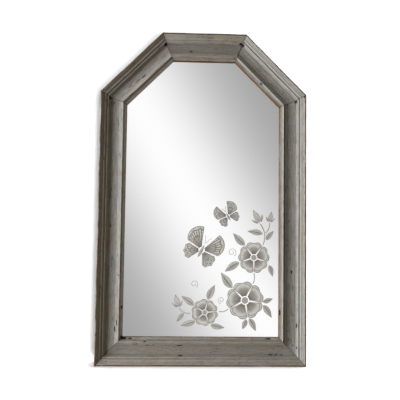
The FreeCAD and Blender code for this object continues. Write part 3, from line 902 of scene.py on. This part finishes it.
def moulding_rail_tree():
    """Sweeps the section along a rail, mitres both ends, then wears, dents and pits its face."""
    wires, given, out = new_tree(
        "moulding_rail", "GeometryNodeTree",
        (("Section", "Geometry"), ("First corner", "Vector"), ("First mitre", "Vector"),
         ("Second corner", "Vector"), ("Second mitre", "Vector"), ("Back level", "Float"), ("Steps", "Int"),
         ("First gap", "Float"), ("Second gap", "Float"), ("Seed", "Float"), ("Knocks", "Object"),
         ("Knock depth", "Float"), ("Rub depth", "Float"), *[(name, "Float") for name in finish_inputs],
         ("Finish", "Material")),
        (("Rail", "Geometry"),), RailWiring)
    rail, grain = swept_rail(wires, given)
    painted = wires.minus(1.0, wires.named("raw"))
    rail = wires.stored(rail, "pit", wires.times(knock_mask(wires, given, grain), painted))
    for name, value in finish_facts(wires, given).items():
        rail = wires.stored(rail, name, value)
    sink = wires.times(worn_depth(wires, given, grain), painted)
    inward = wires.scaled(wires.first("GeometryNodeInputNormal"), wires.times(sink, -1.0))
    rail = wires.first("GeometryNodeSetPosition", {"Geometry": rail, "Offset": inward})
    rail = wires.first("GeometryNodeSetShadeSmooth", {0: rail})
    rail = wires.first("GeometryNodeRealizeInstances", {0: rail})
    rail = wires.first("GeometryNodeSetMaterial", {"Geometry": rail, "Material": given["Finish"]})
    wires.join(rail, out["Rail"])
    return wires.tree


def knock_points(rail):
    """The rail's knocks as loose points, drawn together along the grain, each with its radius."""
    places, radii = [], []
    for run, across, half_length, half_width in knocks[rail]:
        count = max(1, round(half_length / (half_width * knock_stretch)))
        for index in range(count):
            shift = (index - (count - 1) / 2) * knock_spacing_share * half_width * knock_stretch
            places.append(((run + shift) * mm / knock_stretch, across * rail_width, 0))
            radii.append(half_width * mm)
    mesh = bpy.data.meshes.new(rail + "_knocks")
    mesh.from_pydata(places, [], [])
    mesh.attributes.new("radius", "FLOAT", "POINT").data.foreach_set("value", radii)
    return new_object(rail + "_knocks", mesh)


def dress_rails():
    """Six lengths of worn moulding in place of the plain rails."""
    tree = moulding_rail_tree()
    paint = grey_wash_paint()
    outer, inner = frame_corners(0), frame_corners(rail_width)
    mitres = [(near - far) / rail_width for far, near in zip(outer, inner)]
    for index, (name, finish) in enumerate(rail_finish.items()):
        after = (index + 1) % len(outer)
        first_gap, second_gap = joint_gaps.get(name, (0.0, 0.0))
        marks = knock_points(name)
        rail = grown(name + "_moulding", moulding_section(), tree, {
            "First corner": outer[index], "First mitre": mitres[index],
            "Second corner": outer[after], "Second mitre": mitres[after], "Back level": back_level,
            "Steps": round((outer[after] - outer[index]).length / length_spacing),
            "First gap": first_gap, "Second gap": second_gap, "Seed": seed_step * (index + 1),
            "Knocks": marks, "Knock depth": knock_depth, "Rub depth": rub_depth,
            **dict(zip(finish_inputs, finish)), "Finish": paint})
        bpy.data.objects.remove(marks)
        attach(rail, "mirror_body")
        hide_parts(name)


def motif_place(x_share, z_share):
    """A place on the engraving, from shares of its height."""
    x = engraving_left + x_share * engraving_height
    z = engraving_foot + z_share * engraving_height
    return Vector((x, 0, z))


def heading_vectors(angle):
    """Unit vectors along a heading and to its left."""
    along = Vector((math.cos(angle), 0, math.sin(angle)))
    return along, Vector((-along.z, 0, along.x))


def relief_grid(cells, spot, detail):
    """A carved patch as rows of (place, height share, line, tone), with both coordinates from 0 to 1."""
    rows, columns = cells
    return [[(spot(row / rows, column / columns), *detail(row / rows, column / columns))
             for column in range(columns + 1)] for row in range(rows + 1)]


def add_patch(made, grid):
    """Adds one closed patch: its relief, its flat foot and its rim."""
    floor = pane_front + engraving_depth - seat_gap
    rise = engraving_depth - face_gap - seat_gap
    line_layer = made.verts.layers.float["line"]
    tone_layer = made.verts.layers.float["tone"]
    tops, feet = [], []
    for cells in grid:
        top_row, foot_row = [], []
        for place, height, line, tone in cells:
            for row, level in ((top_row, floor - rise * height), (foot_row, floor)):
                vert = made.verts.new((place.x, level, place.z))
                vert[line_layer] = line
                vert[tone_layer] = tone
                row.append(vert)
        tops.append(top_row)
        feet.append(foot_row)
    rows, columns = len(grid) - 1, len(grid[0]) - 1
    for r in range(rows):
        for c in range(columns):
            made.faces.new((tops[r][c], tops[r][c + 1], tops[r + 1][c + 1], tops[r + 1][c]))
            made.faces.new((feet[r][c], feet[r + 1][c], feet[r + 1][c + 1], feet[r][c + 1]))
    rim = [(r, 0) for r in range(rows)] + [(rows, c) for c in range(columns)]
    rim += [(r, columns) for r in range(rows, 0, -1)] + [(0, c) for c in range(columns, 0, -1)]
    for (r, c), (s, d) in zip(rim, rim[1:] + rim[:1]):
        made.faces.new((tops[r][c], tops[s][d], feet[s][d], feet[r][c]))


def carve(name, grids, finish):
    """Closed carved patches seated in the pane's pockets, as one piece."""
    made = bmesh.new()
    for layer in ("line", "tone"):
        made.verts.layers.float.new(layer)
    for grid in grids:
        add_patch(made, grid)
    bmesh.ops.remove_doubles(made, verts=made.verts[:], dist=merge_distance)
    bmesh.ops.dissolve_degenerate(made, edges=made.edges[:], dist=merge_distance)
    bmesh.ops.recalc_face_normals(made, faces=made.faces[:])
    mesh = bpy.data.meshes.new(name)
    made.to_mesh(mesh)
    made.free()
    mesh.materials.append(finish)
    mesh.shade_smooth()
    mesh.set_sharp_from_angle(angle=carved_sharp_angle)
    piece = new_object(name, mesh)
    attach(piece, "mirror_body")


def bevelled(depth, line):
    """Height share of carved glass: low at its edge and in its lines."""
    shoulder = min(1.0, depth / bevel_width)
    height = (rim_height_share + bevel_height_share * shoulder) * (1 - line_cut_share * line)
    return max(least_height_share, height)


def outlined(edge, outline, veins):
    """Height, line and tone of carved glass at a distance from its edge, from its veins' line and tone."""
    line, tone = veins
    line = max(line, ridge(edge, outline))
    return bevelled(edge, line), min(1.0, line), tone


def fan_grid(centre, facing, half_angle, foot, reach, waist, cells, veins):
    """A petal or wing that opens from a foot radius to reach(t), with t from -1 to 1 across it."""
    width = 2 * half_angle * reach(0)
    length = reach(0) - foot
    keep_side = 1 - 2 * pocket_clearance / width
    keep_out = 1 - 2 * pocket_clearance / length

    def spot(out, side):
        t = (2 * side - 1) * keep_side
        out = 0.5 + (out - 0.5) * keep_out
        spread = waist + (1 - waist) * (1 - (1 - out) ** 2)
        radius = foot + (reach(t) - foot) * out
        return centre + heading_vectors(facing + half_angle * t * spread)[0] * radius

    def detail(out, side):
        side_length = width * (fan_foot_share + (1 - fan_foot_share) * out)
        edge = min(out * length, (1 - out) * length, side * side_length, (1 - side) * side_length)
        return outlined(edge, petal_outline, veins(out, 2 * side - 1))

    return relief_grid(cells, spot, detail)


def leaf_grid(base, heading, length, width, bend, cells, veins):
    """A pointed leaf whose midrib bends to one side."""
    along, left = heading_vectors(heading)
    keep_side = 1 - 2 * pocket_clearance / width
    keep_out = 1 - 4 * pocket_clearance / length

    def swell(out):
        return math.sin(math.pi * out ** leaf_swell_share)

    def spot(out, side):
        out = 0.5 + (out - 0.5) * keep_out
        half = width / 2 * swell(out) * keep_side
        return base + along * (length * out) + left * ((2 * side - 1) * half + bend * length * out ** 2)

    def detail(out, side):
        edge = min(side, 1 - side) * (width * swell(out))
        return outlined(edge, leaf_outline, veins(out, 2 * side - 1))

    return relief_grid(cells, spot, detail)


def ribbon_grid(points, width, cells):
    """A stem of even width along a smooth line through the points."""
    def middle(share):
        spans = len(points) - 1
        index = min(int(share * spans), spans - 1)
        t = share * spans - index
        a, b = points[index], points[index + 1]
        before = points[index - 1] if index else a * 2 - b
        after = points[index + 2] if index + 2 <= spans else b * 2 - a
        near = a * (1 - 2.5 * t * t + 1.5 * t ** 3) + b * (0.5 * t + 2 * t * t - 1.5 * t ** 3)
        far = before * (-0.5 * t + t * t - 0.5 * t ** 3) + after * (-0.5 * t * t + 0.5 * t ** 3)
        return near + far

    def spot(out, side):
        step = 0.01
        ahead = (middle(min(1.0, out + step)) - middle(max(0.0, out - step))).normalized()
        left = Vector((-ahead.z, 0, ahead.x))
        return middle(step + (1 - 2 * step) * out) + left * ((side - 0.5) * (width - 2 * pocket_clearance))

    def detail(out, side):
        line = ridge(min(side, 1 - side) * width, stem_outline)
        return 0.25 + 0.5 * math.sin(math.pi * side), line, 0.55

    return relief_grid(cells, spot, detail)


# Engraved line and tone of each motif, from 0 at its foot to 1 at its tip and from -1 to 1 across it
def petal_veins(out, across):
    fans = max(ridge((across - middle) * (0.3 + 0.7 * out), 0.048) for middle in petal_vein_shares)
    fade = max(0.0, 1 - out / (0.86 - 0.22 * abs(across)))
    curl = ridge(out - (0.86 - 0.10 * across * across), 0.030) * (1 if abs(across) > 0.22 else 0.3)
    return max(fans * min(1.0, 2.6 * fade), 0.85 * curl), 0.15 + 0.85 * out ** 0.7 - 0.25 * abs(across) ** 3


def leaf_veins(out, across):
    midrib = ridge(across, 0.16)
    phase = (out - 0.32 * abs(across)) * leaf_vein_count
    side = ridge((phase - round(phase)) / leaf_vein_count, 0.030)
    side *= (1 - abs(across)) ** 0.3 * (0.1 < out < 0.93)
    return max(midrib, 0.9 * side), 0.75 - 0.4 * (across > 0) + 0.2 * out


def bud_veins(out, across):
    bands = max(ridge(across - middle * math.sin(math.pi * out), 0.10) for middle in bud_vein_shares)
    return 0.85 * bands * (1 - 0.6 * out), 0.45 + 0.5 * out


def wing_veins(out, across):
    rays = max(ridge((across - middle) * (0.25 + 0.75 * out), 0.046) for middle in wing_vein_shares)
    cell = ridge(out - (0.46 + 0.10 * math.cos(2.2 * across)), 0.030) * (abs(across) < 0.6)
    band = ridge(out - (0.84 + 0.03 * math.cos(9 * across)), 0.028)
    return max(rays * (out < 0.83), cell, band), 0.35 + 0.5 * out - 0.35 * (out > 0.86)


def body_veins(out, across):
    phase = out * body_ring_count
    rings = ridge((phase - round(phase)) / body_ring_count, 0.018) * (out < 0.72)
    return 0.9 * rings, 0.35 + 0.3 * (1 - abs(across))


def blossom_patches():
    """Notched petals round each blossom's eye."""
    patches = []
    for x, z, size, turn in blossoms:
        centre, radius = motif_place(x, z), size * engraving_height
        half_angle = math.pi / petal_count - petal_gap / (2 * radius)

        def reach(t):
            notch = petal_notch_share * math.exp(-(t / petal_notch_spread_share) ** 2)
            return radius * (1 - notch - petal_shoulder_share * t ** 4)

        for petal in range(petal_count):
            facing = math.radians(turn) + math.tau * petal / petal_count
            patches.append(fan_grid(centre, facing, half_angle, petal_foot_share * radius, reach,
                                    petal_waist_share, petal_cells, petal_veins))
    return patches


def leaf_patches():
    """Pointed leaves with a bent midrib."""
    return [leaf_grid(motif_place(x, z), math.radians(heading), length * engraving_height,
                      width * engraving_height, bend, leaf_cells, leaf_veins)
            for x, z, heading, length, width, bend in leaves]


def bud_patches():
    """Buds with a sepal on either side."""
    patches = []
    for x, z, heading, length_share in buds:
        base, length, facing = motif_place(x, z), length_share * engraving_height, math.radians(heading)
        left = heading_vectors(facing)[1]
        patches.append(leaf_grid(base, facing, length, bud_width_share * length, 0, bud_cells, bud_veins))
        for hand in (-1, 1):
            foot = base + left * (hand * sepal_side_share * length)
            spread = facing + hand * sepal_spread_share * math.pi / 2
            patches.append(leaf_grid(foot, spread, sepal_length_share * length, sepal_width_share * length,
                                     -hand * sepal_bend_share, sepal_cells, bud_veins))
    return patches


def tendril_line(x, z, size, first_angle, turns):
    """Points of a spiral that closes in on its centre."""
    points = []
    for step in range(tendril_points):
        done = step / (tendril_points - 1)
        radius = size * engraving_height * (1 - (1 - tendril_end_share) * done)
        along = heading_vectors(math.radians(first_angle) + math.tau * turns * done)[0]
        points.append(motif_place(x, z) + along * radius)
    return points


def stem_patches():
    """Stems, and tendrils that curl up."""
    lines = [[motif_place(*shares) for shares in run] for run in stems]
    patches = [ribbon_grid(line, stem_width, stem_cells) for line in lines]
    return patches + [ribbon_grid(tendril_line(*row), tendril_width, tendril_cells) for row in tendrils]


def butterfly_patches():
    """A body, four wings and two feelers for each butterfly."""
    patches = []
    for x, z, wing_share, heading in butterflies:
        centre, length, facing = motif_place(x, z), wing_share * engraving_height, math.radians(heading)
        along, left = heading_vectors(facing)
        tail = centre - along * (body_tail_share * length)
        patches.append(leaf_grid(tail, facing, body_length_share * length, body_width_share * length, 0,
                                 body_cells, body_veins))
        for hand in (-1, 1):
            for mid, half, size, apex, drop, ripple in wings:

                def reach(t):
                    outward = t * hand
                    wave = ripple * math.cos(wing_ripples * math.pi * outward)
                    return length * size * (1 - drop * (outward - apex) ** 2 + wave)

                patches.append(fan_grid(centre, facing + hand * mid * math.pi / 2, half * math.pi / 2,
                                        wing_foot_share * length, reach, wing_waist_share, wing_cells,
                                        wing_veins))
            feeler = [centre + along * (out * length) + left * (hand * side * length)
                      for out, side in feeler_shares]
            patches.append(ribbon_grid(feeler, tendril_width, stem_cells))
    return patches


def stamen_tree():
    """Domed stamens in rings on a blossom's eye."""
    wires, given, out = new_tree(
        "stamen_rings", "GeometryNodeTree",
        (("Seat", "Geometry"), ("Centre", "Vector"), ("Eye radius", "Float"), ("Count", "Int"),
         ("Stamen radius", "Float"), ("Finish", "Material")),
        (("Stamens", "Geometry"),))
    joined = wires.node("GeometryNodeJoinGeometry")
    dome = wires.first("GeometryNodeMeshIcoSphere", {"Radius": given["Stamen radius"], "Subdivisions": 2})
    for radius_share, count_share in stamen_rings:
        count = wires.math("ROUND", wires.times(given["Count"], count_share))
        ring = wires.first("GeometryNodeMeshCircle", {
            "Vertices": count, "Radius": wires.times(given["Eye radius"], radius_share)})
        upright = wires.first("GeometryNodeTransform", {
            "Geometry": ring, "Translation": given["Centre"], "Rotation": (math.pi / 2, 0, 0)})
        dots = wires.first("GeometryNodeInstanceOnPoints", {
            "Points": upright, "Instance": dome, "Scale": stamen_dome})
        wires.join(dots, joined.inputs[0])
    real = wires.first("GeometryNodeRealizeInstances", {0: joined.outputs[0]})
    smooth = wires.first("GeometryNodeSetShadeSmooth", {0: real})
    done = wires.first("GeometryNodeSetMaterial", {"Geometry": smooth, "Material": given["Finish"]})
    wires.join(done, out["Stamens"])
    return wires.tree


def dress_engraving():
    """Carved relief in the pane's pockets, and stamens on the blossoms' eyes."""
    finish = frosted_engraving()
    carve("blossom_petals", blossom_patches(), finish)
    carve("leaf_sprays", leaf_patches(), finish)
    carve("flower_buds", bud_patches(), finish)
    carve("stems_and_tendrils", stem_patches(), finish)
    carve("butterfly_wings", butterfly_patches(), finish)
    tree = stamen_tree()
    for index, (x, z, size, turn) in enumerate(blossoms):
        eye = blossom_eye_share * size * engraving_height
        centre = motif_place(x, z)
        centre.y = pane_front + engraving_depth - stamen_lift
        stamens = grown("stamens_%d" % (index + 1), bpy.data.meshes.new("stamens"), tree, {
            "Centre": centre, "Eye radius": eye, "Count": stamen_count, "Stamen radius": stamen_share * eye,
            "Finish": finish})
        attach(stamens, "mirror_body")


def paint_nodes(material, *names):
    """Gives solids that stay their finish."""
    for name in names:
        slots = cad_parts[name].data.materials
        slots.clear()
        slots.append(material)


def dress_hardware():
    """Finishes of the pane, the board and everything on the back."""
    plate = zinc_plate("zinc_plate", colour(196, 196, 192), colour(150, 150, 148), 260.0)
    wire = zinc_plate("zinc_wire", colour(204, 203, 198), colour(160, 159, 155), 420.0)
    point = zinc_plate("steel_points", colour(150, 148, 144), colour(104, 102, 99), 340.0)
    paint_nodes(silvered_mirror(), "mirror_glass")
    paint_nodes(pressed_hardboard(), "backing_board")
    for hand in ("left", "right"):
        paint_nodes(plate, hand + "_hanger_strap")
        paint_nodes(wire, hand + "_hanger_ring", hand + "_hanger_screws")
    paint_nodes(point, "corner_v_nails", "glazing_points")
    paint_nodes(dark_rubber(), "wall_bumpers", "setting_blocks")


def aim_camera():
    """Sets the camera and returns how it is turned."""
    tilt, pan, roll = camera_turns
    turn = Matrix.Rotation(roll, 3, "Z") @ Matrix.Rotation(pan, 3, "Y") @ Matrix.Rotation(tilt, 3, "X")
    upright = Matrix(((1, 0, 0), (0, 0, -1), (0, 1, 0)))
    matrix = (upright @ turn.transposed()).to_4x4()
    matrix.translation = camera_place
    camera = new_object("camera", bpy.data.cameras.new("camera"))
    camera.data.sensor_width = camera_sensor
    camera.data.lens = camera_lens
    camera.matrix_world = matrix
    bpy.context.scene.camera = camera
    return matrix.to_3x3()


def mirror_sweep(wires, ray, view):
    """A pale diagonal sweep with grey ends, set square to the camera's view as the mirror turns it round."""
    across = view @ Vector((math.cos(sweep_lean), math.sin(sweep_lean), 0))
    ahead = view @ Vector((0, 0, -1))
    across.y, ahead.y = -across.y, -ahead.y
    depth = wires.math("MAXIMUM", wires.vector("DOT_PRODUCT", ray, ahead), least_depth)
    offset = wires.math("DIVIDE", wires.vector("DOT_PRODUCT", ray, across), depth)
    away = wires.plus(offset, sweep_shift)
    near = wires.times(away, sweep_steepness)
    bell = wires.math("EXPONENT", wires.times(wires.times(near, near), -1.0))
    ends = wires.smooth(wires.math("ABSOLUTE", away), *sweep_end_places, *sweep_end_levels)
    level = wires.blend(bell, ends, 1.0)
    return wires.combined(level, level, level)


def light_world(view):
    """White to the camera, the sweep to a polished mirror, and a low room light to everything else."""
    world = bpy.data.worlds.new("studio")
    bpy.context.scene.world = world
    world.use_nodes = True
    wires = Wiring(world.node_tree)
    ray = wires.node("ShaderNodeTexCoord").outputs["Generated"]
    path = wires.node("ShaderNodeLightPath").outputs
    x, y, z = wires.parts(ray)
    seen = wires.layered(
        room_front,
        (wires.smooth(x, 0.5, 1.0), room_right),
        (wires.smooth(y, -0.1, 0.4), room_behind),
        (path["Is Singular Ray"], mirror_sweep(wires, ray, view)),
        (path["Is Camera Ray"], white))
    wires.feed(world.node_tree.nodes["Background"], {"Color": seen, "Strength": 1.0})


def add_light(name, kind, towards, **settings):
    lamp = bpy.data.lights.new(name, kind)
    for setting, value in settings.items():
        setattr(lamp, setting, value)
    light = new_object(name, lamp)
    light.rotation_euler = Vector(towards).to_track_quat("-Z", "Y").to_euler()
    return light


def pale_stage_material(name, glow):
    """Pale ground that keeps a shadow, reads as white to the camera and is clear from behind."""
    material, wires, shader = new_material(name)
    speck = wires.noise(wires.object_place(), 40.0)
    path = wires.node("ShaderNodeLightPath").outputs
    wires.feed(shader, {
        "Base Color": wires.tint(speck, (0.79, 0.79, 0.79, 1.0), (0.82, 0.82, 0.82, 1.0)), "Roughness": 0.9,
        "Specular IOR Level": 0.0, "Emission Color": glow,
        "Emission Strength": wires.times(path["Is Camera Ray"], stage_glow)})
    clear = wires.first("ShaderNodeBsdfTransparent")
    facing_away = wires.node("ShaderNodeNewGeometry").outputs["Backfacing"]
    either = wires.first("ShaderNodeMixShader", {0: facing_away, 1: shader.outputs[0], 2: clear})
    wires.join(either, material.node_tree.nodes["Material Output"].inputs["Surface"])
    return material


def stage_plane(name, corners, glow):
    """A large plane of the stage, facing the side from which its corners run anticlockwise."""
    made = bmesh.new()
    made.faces.new([made.verts.new(corner) for corner in corners])
    bmesh.ops.subdivide_edges(made, edges=made.edges[:], cuts=stage_cuts, use_grid_fill=True)
    mesh = bpy.data.meshes.new(name)
    made.to_mesh(mesh)
    made.free()
    mesh.materials.append(pale_stage_material(name, glow))
    plane = new_object(name, mesh)
    plane.visible_diffuse = False
    plane.visible_glossy = False
    plane.visible_transmission = False
    plane.visible_shadow = False
    return plane


def add_stage_suns(suns, plane):
    """Soft suns that light one plane of the stage only, so that the part's shadow falls there."""
    for name, towards, width, strength in suns:
        sun = add_light(name, "SUN", towards, angle=math.radians(width), energy=strength)
        receivers = bpy.data.collections.new(name + "_falls_on")
        receivers.objects.link(plane)
        sun.light_linking.receiver_collection = receivers


def add_window(*passed):
    """The window's light, which passes the planes of the stage."""
    window = add_light("window_light", "AREA", window_target - window_place, shape="RECTANGLE",
                       size=window_width, size_y=window_height, energy=window_power, color=window_tint)
    window.location = window_place
    window.visible_glossy = False
    stage = bpy.data.collections.new("window_light_passes")
    for plane in passed:
        stage.objects.link(plane)
    for entry in stage.collection_objects:
        entry.light_linking.link_state = "EXCLUDE"
    window.light_linking.receiver_collection = stage


def build_stage():
    """A pale floor and wall with their own suns, and the window's light on the part."""
    left, right, foot, top = -stage_reach, stage_reach, cad_low[2] - floor_drop, stage_reach
    near, far, behind = -stage_reach, stage_reach, cad_high[1] + wall_distance
    floor = stage_plane("pale_floor", (
        (left, near, foot), (right, near, foot), (right, far, foot), (left, far, foot)), white)
    wall = stage_plane("pale_wall", (
        (left, behind, foot), (right, behind, foot), (right, behind, top), (left, behind, top)), wall_tint)
    add_stage_suns(wall_suns, wall)
    add_stage_suns(floor_suns, floor)
    add_window(floor, wall)


dress_rails()
dress_engraving()
dress_hardware()
light_world(aim_camera())
build_stage()
bpy.context.scene.view_settings.view_transform = "Standard"
